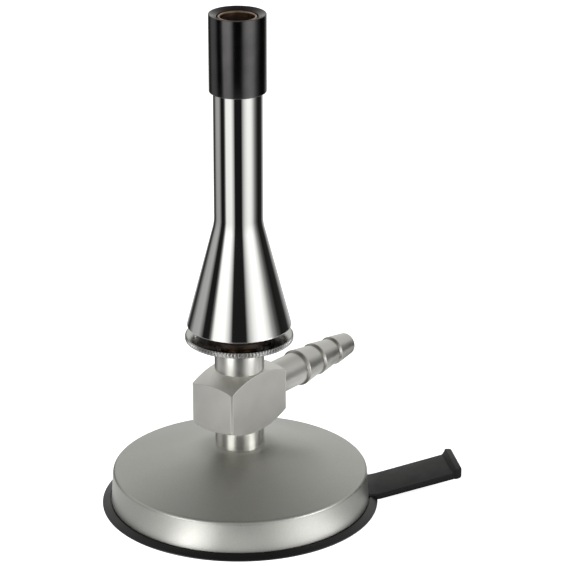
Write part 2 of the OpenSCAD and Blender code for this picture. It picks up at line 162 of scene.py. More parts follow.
# %% [markdown]
# ## Screens and cards
# Each entry is an angle, counted to the right from the camera's side, and a brightness. Black
# cards stand in front, at the left and behind on both sides, with bright screens between them. A
# ramp between the entries gives each card soft edges, which separate planes would not. The screens
# are lit a little brighter towards their tops.

# %% Screens and cards
SCREENS = [(-180, 0.72), (-162, 0.5), (-150, 0.05), (-138, 0.02), (-130, 0.14), (-118, 0.36),
           (-98, 0.38), (-92, 0.25), (-83, 0.01), (-68, 0.01), (-63, 0.15), (-56, 0.95), (-32, 1.02),
           (-22, 0.58), (-14, 0.01), (16, 0.01), (24, 0.45), (34, 0.80), (46, 1.02), (60, 1.0),
           (70, 0.72), (80, 0.30), (92, 0.08), (104, 0.01), (132, 0.02), (150, 0.36), (162, 0.55),
           (180, 0.72)]
SCREEN_FOOT, SCREEN_HEAD = -0.36, 0.13
DIM, BRIGHT = 0.93, 1.25

world = bpy.data.worlds.new("studio")
bpy.context.scene.world = world
world.use_nodes = True
sky = world.node_tree
sky.nodes.clear()
around, parts = bearing(sky, add(sky, "ShaderNodeTexCoord").outputs["Generated"])
cards = fill_stops(add(sky, "ShaderNodeValToRGB", {}, {"Fac": around}), by_angle(SCREENS))
upward = add(sky, "ShaderNodeMapRange",
             {"From Min": SCREEN_FOOT, "From Max": SCREEN_HEAD, "To Min": DIM, "To Max": BRIGHT},
             {"Value": parts.outputs["Z"]})
screens = add(sky, "ShaderNodeMix", {"data_type": "RGBA", "blend_type": "MULTIPLY", 0: 1.0},
              {6: cards, 7: upward.outputs["Result"]})
print("the studio has", len(SCREENS), "edges of screens and cards")

# %% [markdown]
# ## Ceiling and paper
# Over the screens hangs a soft ceiling, bright at its rim and dim overhead, and brighter behind
# the burner than in front. It lights every upper face. Below lies paper that takes most of its
# light from the screens beside it. A plain white world would be simpler, but metal would look
# like chalk in it. The camera itself sees plain white.

# %% Ceiling and paper
CEILING_FRONT = [(0.0, 1.0), (0.40, 0.80), (0.60, 0.50), (0.80, 0.30), (1.0, 0.10)]
CEILING_BACK = [(0.0, 0.95), (0.30, 0.88), (0.55, 0.71), (0.75, 0.47), (0.90, 0.24), (1.0, 0.14)]
# Depths between which the front's ceiling becomes the back's, and heights of ceiling and paper
CEILING_CHANGE = (-0.7, 0.30)
CEILING_EDGE = (0.18, 0.40)
PAPER_EDGE = (-0.42, -0.56)
PAPER = 0.72
CARD_SHARE = 0.6
ROOM_TINT = (1.0, 1.0, 0.98, 1)

behind, over_screens, under_screens = (
    add(sky, "ShaderNodeMapRange",
        {"From Min": start, "From Max": end, "interpolation_type": "SMOOTHSTEP"},
        {"Value": parts.outputs[axis]}).outputs["Result"]
    for axis, (start, end) in (("Y", CEILING_CHANGE), ("Z", CEILING_EDGE), ("Z", PAPER_EDGE)))
front, back = (fill_stops(add(sky, "ShaderNodeValToRGB", {}, {"Fac": parts.outputs["Z"]}), stops)
               for stops in (CEILING_FRONT, CEILING_BACK))
ceiling = add(sky, "ShaderNodeMix", {"data_type": "RGBA"}, {0: behind, 6: front, 7: back})
lidded = add(sky, "ShaderNodeMix", {"data_type": "RGBA"},
             {0: over_screens, 6: screens.outputs[2], 7: ceiling.outputs[2]})
paper_tone = add(sky, "ShaderNodeMix", {"data_type": "RGBA", 0: CARD_SHARE, 6: (PAPER, PAPER, PAPER, 1)},
                 {7: cards})
papered = add(sky, "ShaderNodeMix", {"data_type": "RGBA"},
              {0: under_screens, 6: lidded.outputs[2], 7: paper_tone.outputs[2]})
room = add(sky, "ShaderNodeMix", {"data_type": "RGBA", "blend_type": "MULTIPLY", 0: 1.0, 7: ROOM_TINT},
           {6: papered.outputs[2]})
ray = add(sky, "ShaderNodeLightPath")
shown = add(sky, "ShaderNodeMix", {"data_type": "RGBA", 7: (1, 1, 1, 1)},
            {0: ray.outputs["Is Camera Ray"], 6: room.outputs[2]})
backdrop = add(sky, "ShaderNodeBackground", {}, {"Color": shown.outputs[2]})
add(sky, "ShaderNodeOutputWorld", {}, {"Surface": backdrop.outputs[0]})
print("the world is made of", len(sky.nodes), "nodes")

# %% [markdown]
# ## The floor as the camera sees it
# The burner stands on white paper, which keeps its shadow. One broad plane does it: a matt white
# that takes the shadow, with a glow added for the camera alone, which lifts it to the white of
# the backdrop. More lamps would whiten it too, but they would burn out the burner.

# %% Floor
FLOOR_Z = -0.02 * MM
FLOOR_HALF = 2.0
FLOOR_GLOW = 0.86

corners = [(x * FLOOR_HALF, y * FLOOR_HALF, FLOOR_Z) for x, y in ((-1, -1), (1, -1), (1, 1), (-1, 1))]
floor_mesh = bpy.data.meshes.new("floor")
floor_mesh.from_pydata(corners, [], [(0, 1, 2, 3)])
floor = bpy.data.objects.new("floor", floor_mesh)
bpy.context.scene.collection.objects.link(floor)
floor_finish = bpy.data.materials.new("white_paper_floor")
floor_finish.use_nodes = True
floor_mesh.materials.append(floor_finish)
paper = floor_finish.node_tree
paper.nodes.clear()
paper_ray = add(paper, "ShaderNodeLightPath")
paper_matt = add(paper, "ShaderNodeBsdfDiffuse", {"Color": linear("#e7e7e7")})
paper_level = add(paper, "ShaderNodeMath", {"operation": "MULTIPLY", 1: FLOOR_GLOW},
                  {0: paper_ray.outputs["Is Camera Ray"]})
paper_glow = add(paper, "ShaderNodeEmission", {}, {"Strength": paper_level.outputs[0]})
paper_sum = add(paper, "ShaderNodeAddShader", {}, {0: paper_matt.outputs[0], 1: paper_glow.outputs[0]})
print("the floor is", 2 * FLOOR_HALF, "m wide")

# %% [markdown]
# ## The floor as the metal sees it
# Mirrors look down as well as around. They see a round lit sheet: close to the foot it has its own
# bright and dark parts, further out it follows the screens and cards, and past its edge they see
# the world. The ramps hold shares of the strongest light, because a colour ends at 1. From
# underneath the sheet is left out, so that the foot shows.

# %% Lights on the sheet
STRONGEST = 4.0
SHEET_NEAR = [(-180, 0.95), (-120, 0.9), (-80, 0.6), (-60, 0.60), (-50, 0.8), (-40, 1.05), (-33, 2.0),
              (-27, 3.1), (-20, 2.2), (-10, 0.92), (12, 0.78), (18, 0.9), (28, 1.3), (36, 1.7),
              (50, 1.9), (60, 1.15), (69, 0.65), (78, 0.5), (86, 0.5), (92, 0.35), (98, 0.08),
              (106, 0.05), (112, 0.4), (118, 1.2), (126, 0.95), (136, 0.8), (180, 0.95)]
SHEET_FAR = [(-180, 0.6), (-162, 0.5), (-152, 0.1), (-138, 0.06), (-128, 0.25), (-114, 0.6),
             (-66, 0.6), (-56, 0.8), (-36, 0.8), (-24, 0.4), (-14, 0.12), (14, 0.12), (28, 0.4),
             (40, 0.95), (58, 0.95), (70, 0.5), (80, 0.5), (86, 1.1), (93, 1.5), (99, 0.8),
             (103, 0.3), (107, 0.6), (112, 1.3), (117, 1.2), (122, 0.6), (130, 0.2), (146, 0.08),
             (158, 0.45), (180, 0.6)]
print("brightest place on the sheet:", max(level for angle, level in SHEET_NEAR + SHEET_FAR))

# %% [markdown]
# ## The sheet's nodes
# The place under a mirror's ray gives an angle and a distance from the axis. The angle picks the
# light from both ramps, the distance picks between them and ends the sheet, and the kind of the
# ray picks between this sheet and the white floor.

# %% Lit sheet
SHEET_R = 0.17
SHEET_FADE = (SHEET_R - 0.02, SHEET_R + 0.01)
NEAR_R = 0.085
NEAR_FADE = (NEAR_R - 0.004, NEAR_R + 0.004)
place = add(paper, "ShaderNodeTexCoord").outputs["Object"]
around, parts = bearing(paper, place)
near_level, far_level = (
    fill_stops(add(paper, "ShaderNodeValToRGB", {}, {"Fac": around}), by_angle(lights, STRONGEST))
    for lights in (SHEET_NEAR, SHEET_FAR))
out = add(paper, "ShaderNodeVectorMath", {"operation": "LENGTH"}, {0: place}).outputs["Value"]
outer = add(paper, "ShaderNodeMapRange", {"From Min": NEAR_FADE[0], "From Max": NEAR_FADE[1]},
            {"Value": out})
beyond = add(paper, "ShaderNodeMapRange", {"From Min": SHEET_FADE[0], "From Max": SHEET_FADE[1],
                                           "interpolation_type": "SMOOTHSTEP"}, {"Value": out})
sheet_level = add(paper, "ShaderNodeMix", {"data_type": "RGBA"},
                  {0: outer.outputs["Result"], 6: near_level, 7: far_level})
sheet_glow = add(paper, "ShaderNodeEmission", {"Strength": STRONGEST}, {"Color": sheet_level.outputs[2]})
open_air = add(paper, "ShaderNodeBsdfTransparent")
mirrored = add(paper, "ShaderNodeMixShader", {},
               {0: beyond.outputs["Result"], 1: sheet_glow.outputs[0], 2: open_air.outputs[0]})
by_ray = add(paper, "ShaderNodeMixShader", {},
             {0: paper_ray.outputs["Is Glossy Ray"], 1: paper_sum.outputs[0], 2: mirrored.outputs[0]})
facing = add(paper, "ShaderNodeNewGeometry")
from_above = add(paper, "ShaderNodeMixShader", {},
                 {0: facing.outputs["Backfacing"], 1: by_ray.outputs[0], 2: open_air.outputs[0]})
add(paper, "ShaderNodeOutputMaterial", {}, {"Surface": from_above.outputs[0]})
print("mirrors see the sheet out to", round(SHEET_R / MM), "mm from the axis")

# %% [markdown]
# ## The soft box
# The world gives most of the light, and a world alone gives almost no shadow. One broad soft box
# from the upper left adds it. A sun would cast a hard shadow instead. The box is hidden from
# mirrors, so it leaves no disc on the tube.

# %% Soft box
LAMP_SIZE = 0.9
LAMP_POWER = 6.0
LAMP_PLACE = (-0.55, 0.45, 1.0)
lamp_data = bpy.data.lights.new("soft_box", "AREA")
lamp_data.shape = "DISK"
lamp_data.size = LAMP_SIZE
lamp_data.energy = LAMP_POWER
lamp = bpy.data.objects.new("soft_box", lamp_data)
bpy.context.scene.collection.objects.link(lamp)
lamp.location = picture_direction(*LAMP_PLACE)
lamp.rotation_euler = (-Vector(lamp.location)).to_track_quat("-Z", "Y").to_euler()
lamp.visible_glossy = False
print("soft box hangs", round(lamp.location.z, 2), "m up")

# %% [markdown]
# ## Low strips
# Two small lamps stand low beside the foot, out of the camera's sight. They graze the base disc,
# so that its cone shows its slope, and wake the stub above it. A brighter soft box would light the
# cone evenly and flatten it.

# %% Low strips
STRIP_SIZE = (0.052, 0.022)
STRIP_OUT = 0.105
STRIP_AIM = Vector((0, 0, 0.022))
# Each strip: its angle from the camera's side, its power and its height
STRIPS = ((-39, 0.0098, 0.032), (58, 0.0145, 0.042))
for angle, power, height in STRIPS:
    strip_data = bpy.data.lights.new("low_strip", "AREA")
    strip_data.shape = "RECTANGLE"
    strip_data.size, strip_data.size_y = STRIP_SIZE
    strip_data.energy = power
    strip = bpy.data.objects.new("low_strip", strip_data)
    bpy.context.scene.collection.objects.link(strip)
    side = math.radians(angle)
    strip.location = picture_direction(STRIP_OUT * math.sin(side), STRIP_OUT * math.cos(side), height)
    strip.rotation_euler = (STRIP_AIM - strip.location).to_track_quat("-Z", "Y").to_euler()
    strip.visible_camera = False
print(len(STRIPS), "strips stand", round(STRIP_OUT / MM), "mm from the axis")

# %% [markdown]
# ## Round corners
# Real edges are never knife sharp: a tool leaves a small rounding, and the rounding catches light.
# A bevel modifier could add it to the finished mesh. Rounding the outline before it becomes a mesh
# gives each corner its own radius and leaves even faces.


# %% Round corners
def soften(points, steps=4):
    """Rounds the corners of a closed outline. A point is (radius, height) or, to be rounded,
    (radius, height, rounding)."""
    out = []
    for i, point in enumerate(points):
        here = Vector(point[:2])
        if len(point) < 3:
            out.append((here.x, here.y))
            continue
        before = (Vector(points[i - 1][:2]) - here).normalized()
        after = (Vector(points[(i + 1) % len(points)][:2]) - here).normalized()
        half = before.angle(after) / 2
        reach = point[2] / math.tan(half)
        centre = here + (before + after).normalized() * point[2] / math.sin(half)
        start = here + before * reach - centre
        turn = start.angle_signed(here + after * reach - centre)
        for s in range(steps + 1):
            arm = start.copy()
            arm.rotate(Matrix.Rotation(-turn * s / steps, 2))
            out.append(tuple(centre + arm))
    return out


print("a softened square has", len(soften([(0, 0, 1), (9, 0, 1), (9, 9, 1), (0, 9, 1)])), "points")

# %% [markdown]
# ## The lathe
# Almost every piece of a burner is turned on a lathe, so one function swings an outline of radius
# and height round the axis. A screw modifier could do it too, but a few lines that build the faces
# themselves leave room for knurls.


# %% Lathe
def skin(builder, loops, closed):
    """Joins each loop of points to the next one with faces, and the last to the first if closed."""
    for here, there in zip(loops, loops[1:] + loops[:1] if closed else loops[1:]):
        for i in range(len(here)):
            j = (i + 1) % len(here)
            builder.faces.new((here[i], here[j], there[j], there[i]))


def swing(outline, segments=192, radius_at=None):
    """A bmesh of a closed outline in millimetres swung round Z. radius_at may change the radius
    at a step of the turn."""
    builder = bmesh.new()
    rings = []
    for s in range(segments):
        angle = 2 * math.pi * s / segments
        ring = []
        for radius, height in outline:
            r = radius_at(radius, height, s) if radius_at else radius
            x, y = r * math.cos(angle), r * math.sin(angle)
            ring.append(builder.verts.new((x * MM, y * MM, height * MM)))
        rings.append(ring)
    skin(builder, rings, True)
    return builder


trial = swing([(1, 0), (2, 0), (2, 1)])
print("a plain turned ring has", len(trial.faces), "faces")
trial.free()

# %% [markdown]
# ## From a mesh to a piece
# A mesh becomes an object with one material, smooth except where faces meet at a clear angle.
# Then it is tied to the frame: it rides on the body of the node that it stands for.


# %% Pieces
def piece(name, builder, material, sharp=40):
    """Makes an object from a bmesh: smooth, with creases where faces meet at more than sharp degrees."""
    mesh = bpy.data.meshes.new(name)
    bmesh.ops.recalc_face_normals(builder, faces=builder.faces)
    builder.to_mesh(mesh)
    builder.free()
    for polygon in mesh.polygons:
        polygon.use_smooth = True
    mesh.set_sharp_from_angle(angle=math.radians(sharp))
    mesh.materials.append(material)
    made = bpy.data.objects.new(name, mesh)
    bpy.context.scene.collection.objects.link(made)
    print(name, "has", len(mesh.polygons), "faces")
    return made


def extent(node):
    """A node's box in millimetres: lowest corner, highest corner."""
    low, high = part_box(node)
    return Vector(low) / MM, Vector(high) / MM


def stand_in(made, node):
    """The fine mesh rides on the node's body and stands for the node, which is hidden."""
    body = next(b for b, nodes in frame["record"]["behaviour"]["bodies"].items() if node in nodes)
    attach(made, body)
    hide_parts(node)


tube_low, tube_high = extent("mixing_tube")
print("the mixing tube reaches from", round(tube_low.z, 1), "to", round(tube_high.z, 1), "mm")

# %% [markdown]
# ## What every finish needs
# No real surface is even. Its gloss and its tone wander a little, and fine bumps break up what it
# mirrors. Image textures could hold that, but noise that is fixed to the piece needs no files and
# keeps its real size.


# %% Finish tools
def finish(name, colour, roughness, metallic=0.0):
    """A material with one Principled shader. Returns the material, its tree and the shader."""
    made = bpy.data.materials.new(name)
    made.use_nodes = True
    shader = made.node_tree.nodes["Principled BSDF"]
    shader.inputs["Base Color"].default_value = linear(colour)
    shader.inputs["Roughness"].default_value = roughness
    shader.inputs["Metallic"].default_value = metallic
    print(name, "starts from", colour, "with roughness", roughness)
    return made, made.node_tree, shader


def grain(tree, size_mm, detail, stretch=(1, 1, 1)):
    """Noise whose blobs are about size_mm across, fixed to the piece. Returns its factor."""
    place = add(tree, "ShaderNodeTexCoord")
    scaled = add(tree, "ShaderNodeMapping", {"Scale": stretch}, {"Vector": place.outputs["Object"]})
    noise = add(tree, "ShaderNodeTexNoise", {"Scale": 1 / (size_mm * MM), "Detail": detail},
                {"Vector": scaled.outputs["Vector"]})
    return noise.outputs["Fac"]


def patches(tree, size_mm, low, high, detail=4.0, start=0.3, end=0.7):
    """A value that wanders from low to high in patches about size_mm across."""
    level = add(tree, "ShaderNodeMapRange",
                {"From Min": start, "From Max": end, "To Min": low, "To Max": high},
                {"Value": grain(tree, size_mm, detail)})
    return level.outputs["Result"]


def bumps(tree, shader, size_mm, depth_mm, detail=2.0, stretch=(1, 1, 1)):
    """Gives the surface bumps about size_mm across and depth_mm high, in its shading only."""
    height = grain(tree, size_mm, detail, stretch)
    bump = add(tree, "ShaderNodeBump", {"Strength": 1.0, "Distance": depth_mm * MM}, {"Height": height})
    tree.links.new(bump.outputs["Normal"], shader.inputs["Normal"])


print("noise of 2 mm has a scale of", round(1 / (2 * MM)))

# %% [markdown]
# ## Polished chrome
# The tube is chrome plate over polished brass: an almost perfect mirror, with the faint haze of
# fingers and cloths, and a long shallow waviness left by the polishing wheel. A perfect mirror
# would look drawn, so both are kept, though they are hard to point at.

# %% Polished chrome
HAZE_MM = 9.0
WHEEL_MM = 14.0
WHEEL_DEPTH_MM = 0.02
ALONG_THE_TUBE = (1, 1, 0.35)
chrome, tree, shader = finish("polished_chrome", "#f1f1f0", 0.05, 1.0)
tree.links.new(patches(tree, HAZE_MM, 0.03, 0.085), shader.inputs["Roughness"])
bumps(tree, shader, WHEEL_MM, WHEEL_DEPTH_MM, 1.0, ALONG_THE_TUBE)

# %% [markdown]
# ## Chrome on the air disc
# The disc is plated over a plain turned face. On top, in the warm air that the flame draws in, it
# has dulled and darkened, while its underside has stayed as bright as the tube. On its knurled
# rim the tool's marks show through, and dirt sits between the teeth. Three finishes tell it.

# %% Chrome on the air disc
DULL_PATCH_MM = 3.0
PLATE_MM = 0.5
TOOTH_DIRT_MM = 0.8
KNURL_MARK_MM = 0.2
disc_chrome, tree, shader = finish("chrome_on_turned_brass", "#bdbdbb", 0.16, 1.0)
tree.links.new(patches(tree, DULL_PATCH_MM, 0.12, 0.20), shader.inputs["Roughness"])
bumps(tree, shader, PLATE_MM, 0.003)

satin_chrome, tree, shader = finish("satin_chrome", "#a7a7a5", 0.30, 1.0)
tree.links.new(patches(tree, TOOTH_DIRT_MM, 0.25, 0.35, 3.0), shader.inputs["Roughness"])
bumps(tree, shader, KNURL_MARK_MM, 0.01)

# %% [markdown]
# ## Tones and marks
# A plate or a paint is never one flat colour, so two close tones take turns in patches. Wear,
# soot, painted highlights and painted shade are not spread like that: they sit on edges, in
# corners and at the mouth. The mesh itself can say where, with a number on each of its points, and
# the finish reads that mark.


# %% Tones and marks
def tones(tree, size_mm, dark, light, detail=4.0, start=0.3, end=0.7):
    """A colour that wanders between two close tones in patches about size_mm across."""
    blend = add(tree, "ShaderNodeMix", {"data_type": "RGBA", 6: linear(dark), 7: linear(light)},
                {0: patches(tree, size_mm, 0.0, 1.0, detail, start, end)})
    return blend.outputs[2]


def marked(tree, tone, mark, colour):
    """Turns a tone towards a colour where the mesh carries a mark, such as soot, a painted highlight on
    edges and painted shade in corners.
    """
    where = add(tree, "ShaderNodeAttribute", {"attribute_name": mark})
    blend = add(tree, "ShaderNodeMix", {"data_type": "RGBA", 7: linear(colour)},
                {0: where.outputs["Fac"], 6: tone})
    return blend.outputs[2]


light_step = linear("#d4d3ce")[0] - linear("#cccbc6")[0]
print("two close tones, #cccbc6 and #d4d3ce, differ by", round(light_step, 3), "in linear light")

# %% [markdown]
# ## Satin nickel
# Block and nozzle are nickel over blasted brass: a soft grey sheen, slightly warm, with a grain
# of 0.1 mm, drawn here at 0.35 mm so that it shows at all. Where hands and spanners rub, on the
# edges, the plate is smoother, and its colour is painted lighter there: a painted highlight. In
# the corners under the barbs the colour is painted darker: painted shade. The nozzle was turned
# before the blast, so it is a bit smoother.

# %% Satin nickel
BLAST_MM = 0.35
BLAST_DEPTH_MM = 0.012
CLOUD_MM = 7.0
# Colours of the painted highlight on rubbed edges and of the painted shade in corners
PAINTED_HIGHLIGHT = "#f4f2ec"
PAINTED_SHADE = "#a19f99"
RUBBED_ROUGHNESS = 0.3


def blasted_nickel(name, dark, light, smooth, rough):
    """Nickel over a blasted surface, between two close tones and two values of roughness."""
    made, tree, shader = finish(name, light, rough, 1.0)
    rub_and_highlight = add(tree, "ShaderNodeAttribute", {"attribute_name": "rub_and_highlight"})
    worn = add(tree, "ShaderNodeMix", {3: RUBBED_ROUGHNESS},
               {0: rub_and_highlight.outputs["Fac"], 2: patches(tree, CLOUD_MM, smooth, rough, 3.0)})
    tree.links.new(worn.outputs[0], shader.inputs["Roughness"])
    # Painted highlight where the mesh is marked as rubbed, painted shade where it is marked in corners
    shine = marked(tree, tones(tree, CLOUD_MM, dark, light, 3.0), "rub_and_highlight", PAINTED_HIGHLIGHT)
    tree.links.new(marked(tree, shine, "painted_shade", PAINTED_SHADE), shader.inputs["Base Color"])
    bumps(tree, shader, BLAST_MM, BLAST_DEPTH_MM)
    return made


satin_nickel = blasted_nickel("satin_nickel", "#cccbc6", "#d4d3ce", 0.44, 0.52)
fine_nickel = blasted_nickel("satin_nickel_turned_first", "#d3d2cd", "#dbdad5", 0.38, 0.43)

# %% [markdown]
# ## Turned nickel
# The block's two stubs carry the same plate over a fine turned surface, so they are closer to a
# mirror than the blasted faces. The tool leaves rings about 0.3 mm apart, which a wave texture
# draws more evenly than noise would. The upper stub is handled more and is the duller one. The
# lower stub's colour is painted lighter than nickel is: a painted highlight on its stripes.

# %% Turned nickel
TOOL_MARK_MM = 0.3
TOOL_MARK_DEPTH_MM = 0.0012
# A wave texture of scale 1 repeats every 0.314 units
WAVE_LENGTH = 0.314


def turned_nickel(name, colour, smooth, rough):
    """Nickel over a turned surface, with the fine rings of the tool."""
    made, tree, shader = finish(name, colour, rough, 1.0)
    place = add(tree, "ShaderNodeTexCoord")
    marks = add(tree, "ShaderNodeTexWave",
                {"bands_direction": "Z", "Scale": WAVE_LENGTH / (TOOL_MARK_MM * MM), "Distortion": 0.4},
                {"Vector": place.outputs["Object"]})
    bump = add(tree, "ShaderNodeBump", {"Strength": 1.0, "Distance": TOOL_MARK_DEPTH_MM * MM},
               {"Height": marks.outputs["Fac"]})
    tree.links.new(bump.outputs["Normal"], shader.inputs["Normal"])
    tree.links.new(patches(tree, CLOUD_MM, smooth, rough, 3.0), shader.inputs["Roughness"])
    return made


# Painted highlight: the lower stub's colour is lighter than nickel
nickel_painted_lighter = turned_nickel("nickel_fine_turned", "#f6f5f0", 0.10, 0.16)
soft_nickel = turned_nickel("nickel_turned_and_handled", "#d2d1cc", 0.28, 0.34)

# %% [markdown]
# ## Grey metallic paint
# The base is a heavy casting, sprayed with lacquer that holds fine aluminium flake, under a thin
# satin clear coat with a little orange peel. The flake would be too fine to see at its real
# 0.03 mm, so it is drawn at 0.22 mm. Round the foot of the stub the colour is painted darker, a
# painted shade. Flake mirrors like metal, so the base of the paint is metallic.

# %% Grey metallic paint
FLAKE_MM = 0.22
WIPE_MM = 18.0
ORANGE_PEEL_MM = 1.6
ORANGE_PEEL_DEPTH_MM = 0.006
grey_paint, tree, shader = finish("grey_metallic_paint", "#bab9b4", 0.41, 1.0)
sparkle = tones(tree, FLAKE_MM, "#b2b2ad", "#c2c2bd", 1.0, 0.25, 0.75)
# Painted shade: a darker colour round the foot of the stub
tree.links.new(marked(tree, sparkle, "painted_shade", "#a3a39e"), shader.inputs["Base Color"])
shader.inputs["Coat Weight"].default_value = 0.25
shader.inputs["Coat Roughness"].default_value = 0.35
tree.links.new(patches(tree, WIPE_MM, 0.38, 0.44, 3.0), shader.inputs["Roughness"])
bumps(tree, shader, ORANGE_PEEL_MM, ORANGE_PEEL_DEPTH_MM, 1.0)

# %% [markdown]
# ## Blackened steel
# The head is steel, burnished black. Black paint would hide the metal, but this layer still
# mirrors the screens in soft grey streaks, so it is a dark metal here. Its mouth is sooty.

# %% Blackened steel
FINGER_MM = 5.0
BURNISH_MM = 6.0
SCALE_MM = 0.5
black_metal, tree, shader = finish("blackened_steel", "#686768", 0.18, 1.0)
tree.links.new(patches(tree, FINGER_MM, 0.15, 0.20), shader.inputs["Roughness"])
burnish = tones(tree, BURNISH_MM, "#5c5b5c", "#686667")
tree.links.new(marked(tree, burnish, "soot", "#3d3a3a"), shader.inputs["Base Color"])
bumps(tree, shader, SCALE_MM, 0.003)

# %% [markdown]
# ## Moulded black plastic
# Foot ring and handle are one moulding in polyamide. The ring comes from a smooth tool and keeps a
# soft gloss. The handle's tool is eroded, so the grip is duller and scatters what it mirrors. One
# plastic could serve both, but the two ways of the tool are what the eye tells apart.

# %% Moulded black plastic
POLYAMIDE_IOR = 1.53
GLOSS_MM = 4.0
FLOW_MM = 6.0
SMOOTH_TOOL_MM = 0.5
EROSION_MM = 0.3


def moulded(name, colour, dark, light, smooth, rough, shine, bump_mm, depth_mm):
    """Black polyamide from a tool whose surface has bumps of a size and depth."""
    made, tree, shader = finish(name, colour, (smooth + rough) / 2)
    shader.inputs["IOR"].default_value = POLYAMIDE_IOR
    shader.inputs["Specular IOR Level"].default_value = shine
    tree.links.new(patches(tree, GLOSS_MM, smooth, rough), shader.inputs["Roughness"])
    tree.links.new(tones(tree, FLOW_MM, dark, light, 5.0), shader.inputs["Base Color"])
    bumps(tree, shader, bump_mm, depth_mm)
    return made


black_plastic = moulded("moulded_black_polyamide", "#0b0b0c", "#090909", "#0e0e0f",
                        0.26, 0.34, 0.38, SMOOTH_TOOL_MM, 0.004)
black_grip = moulded("eroded_black_polyamide", "#0c0b0c", "#0b0a0a", "#110f10",
                     0.42, 0.50, 0.28, EROSION_MM, 0.012)

# %% [markdown]
# ## Brass in warm air
# The pieces inside are turned brass, left bare, and bare brass tells where the warmth goes. On
# the stem and the jet it has gone dull and brown, in the gassy air under the cone it is a deep
# brown, and at the mouth the flame has tinted it. Only tone and roughness differ, so one function
# makes all three.


# %% Brass
def warm_brass(name, colour, dark, light, smooth, rough, patch_mm, tone_mm, detail):
    """Bare brass that warm air has browned, between two tones and two values of roughness."""
    made, tree, shader = finish(name, colour, (smooth + rough) / 2, 1.0)
    tree.links.new(patches(tree, patch_mm, smooth, rough), shader.inputs["Roughness"])
    tree.links.new(tones(tree, tone_mm, dark, light, detail), shader.inputs["Base Color"])
    return made


STEM_PATCH_MM, STEM_TONE_MM = 3.0, 4.0
FLAME_PATCH_MM, FLAME_TONE_MM = 2.0, 3.0
aged_brass = warm_brass("aged_brass", "#6e5438", "#5e462e", "#7e6244",
                        0.30, 0.44, STEM_PATCH_MM, STEM_TONE_MM, 4.0)
scorched_brass = warm_brass("heat_tinted_brass", "#9c8470", "#8a7260", "#b39c86",
                            0.28, 0.44, FLAME_PATCH_MM, FLAME_TONE_MM, 5.0)
brown_brass = warm_brass("oxidised_brass", "#5f524c", "#524540", "#6c5f58",
                         0.34, 0.50, FLAME_PATCH_MM, FLAME_TONE_MM, 5.0)

# %% [markdown]
# ## Zinc and fibre
# Bright zinc covers the screw and washer under the base, with the cloudy gloss of a plating bath.
# The seals are red vulcanised fibre, which is paper pressed hard: dull, and speckled finely.

# %% Zinc and fibre
BATH_MM = 1.5
SPECK_MM = 0.6
zinc, tree, shader = finish("zinc_plated_steel", "#b9bcc0", 0.3, 1.0)
tree.links.new(patches(tree, BATH_MM, 0.25, 0.4), shader.inputs["Roughness"])
fibre, tree, shader = finish("vulcanised_fibre", "#7a3b2e", 0.7)
tree.links.new(tones(tree, SPECK_MM, "#6d3327", "#884536"), shader.inputs["Base Color"])

# %% [markdown]
# ## Pieces that stay as they are
# What hides inside or underneath, and the ring in the mouth, are good enough in the model's own
# mesh. Making them again would only take time, so they just get their finish.

# %% Finishes on the kept pieces
KEPT = {"base_screw": zinc, "base_washer": zinc,
        "nozzle_seal": fibre, "stem_seal": fibre, "jet_seal": fibre, "gas_jet": aged_brass,
        "disc_bush": brown_brass, "tube_spider": brown_brass, "mouth_ring": scorched_brass}
for node, material in KEPT.items():
    mesh = frame["nodes"][node].data
    mesh.materials.clear()
    mesh.materials.append(material)
print("finished", len(KEPT), "pieces that keep their own mesh")

# %% [markdown]
# ## The foot ring
# One moulding in black plastic keeps the iron off the bench. Its lip slopes down to a thin outer
# edge, and a rib inside finds the hollow of the base. It is round all over, so the lathe makes it.

# %% Foot ring
FOOT_FLOOR = 1.2
LIP_H = 0.3
LIP_W = 2.4
LIP_GAP = 0.4
LIP_EDGE_H = 0.5
RIB_R = 35.45
RIB_T = 1.2
RIB_H = 2.4
WEB_W = 2.2
base_low, base_high = extent("base_disc")
lip_r = base_high.x + LIP_GAP
foot_r = lip_r + LIP_W
lip_top = FOOT_FLOOR + LIP_H
rib_in = RIB_R - RIB_T
ring_outline = soften([
    (rib_in - WEB_W, 0, 0.2), (foot_r, 0, 0.22), (foot_r, LIP_EDGE_H, 0.16), (lip_r, lip_top, 0.1),
    (lip_r, FOOT_FLOOR, 0.05), (RIB_R, FOOT_FLOOR), (RIB_R, FOOT_FLOOR + RIB_H, 0.3),
    (rib_in, FOOT_FLOOR + RIB_H, 0.3), (rib_in, FOOT_FLOOR, 0.2),
    (rib_in - WEB_W, FOOT_FLOOR, 0.3)], steps=5)
foot = piece("foot_ring_moulded", swing(ring_outline, segments=256), black_plastic, sharp=35)
stand_in(foot, "foot_ring")

# %% [markdown]
# ## The handle
# A flat bar rises from the ring to a stop for the thumb. A box with a bevel would give the same
# rounding all over. The handle is made of rounded sections set one after another along its length
# instead, so that the root can follow the base's wall and the stop can stand up. First comes the
# line of its top.

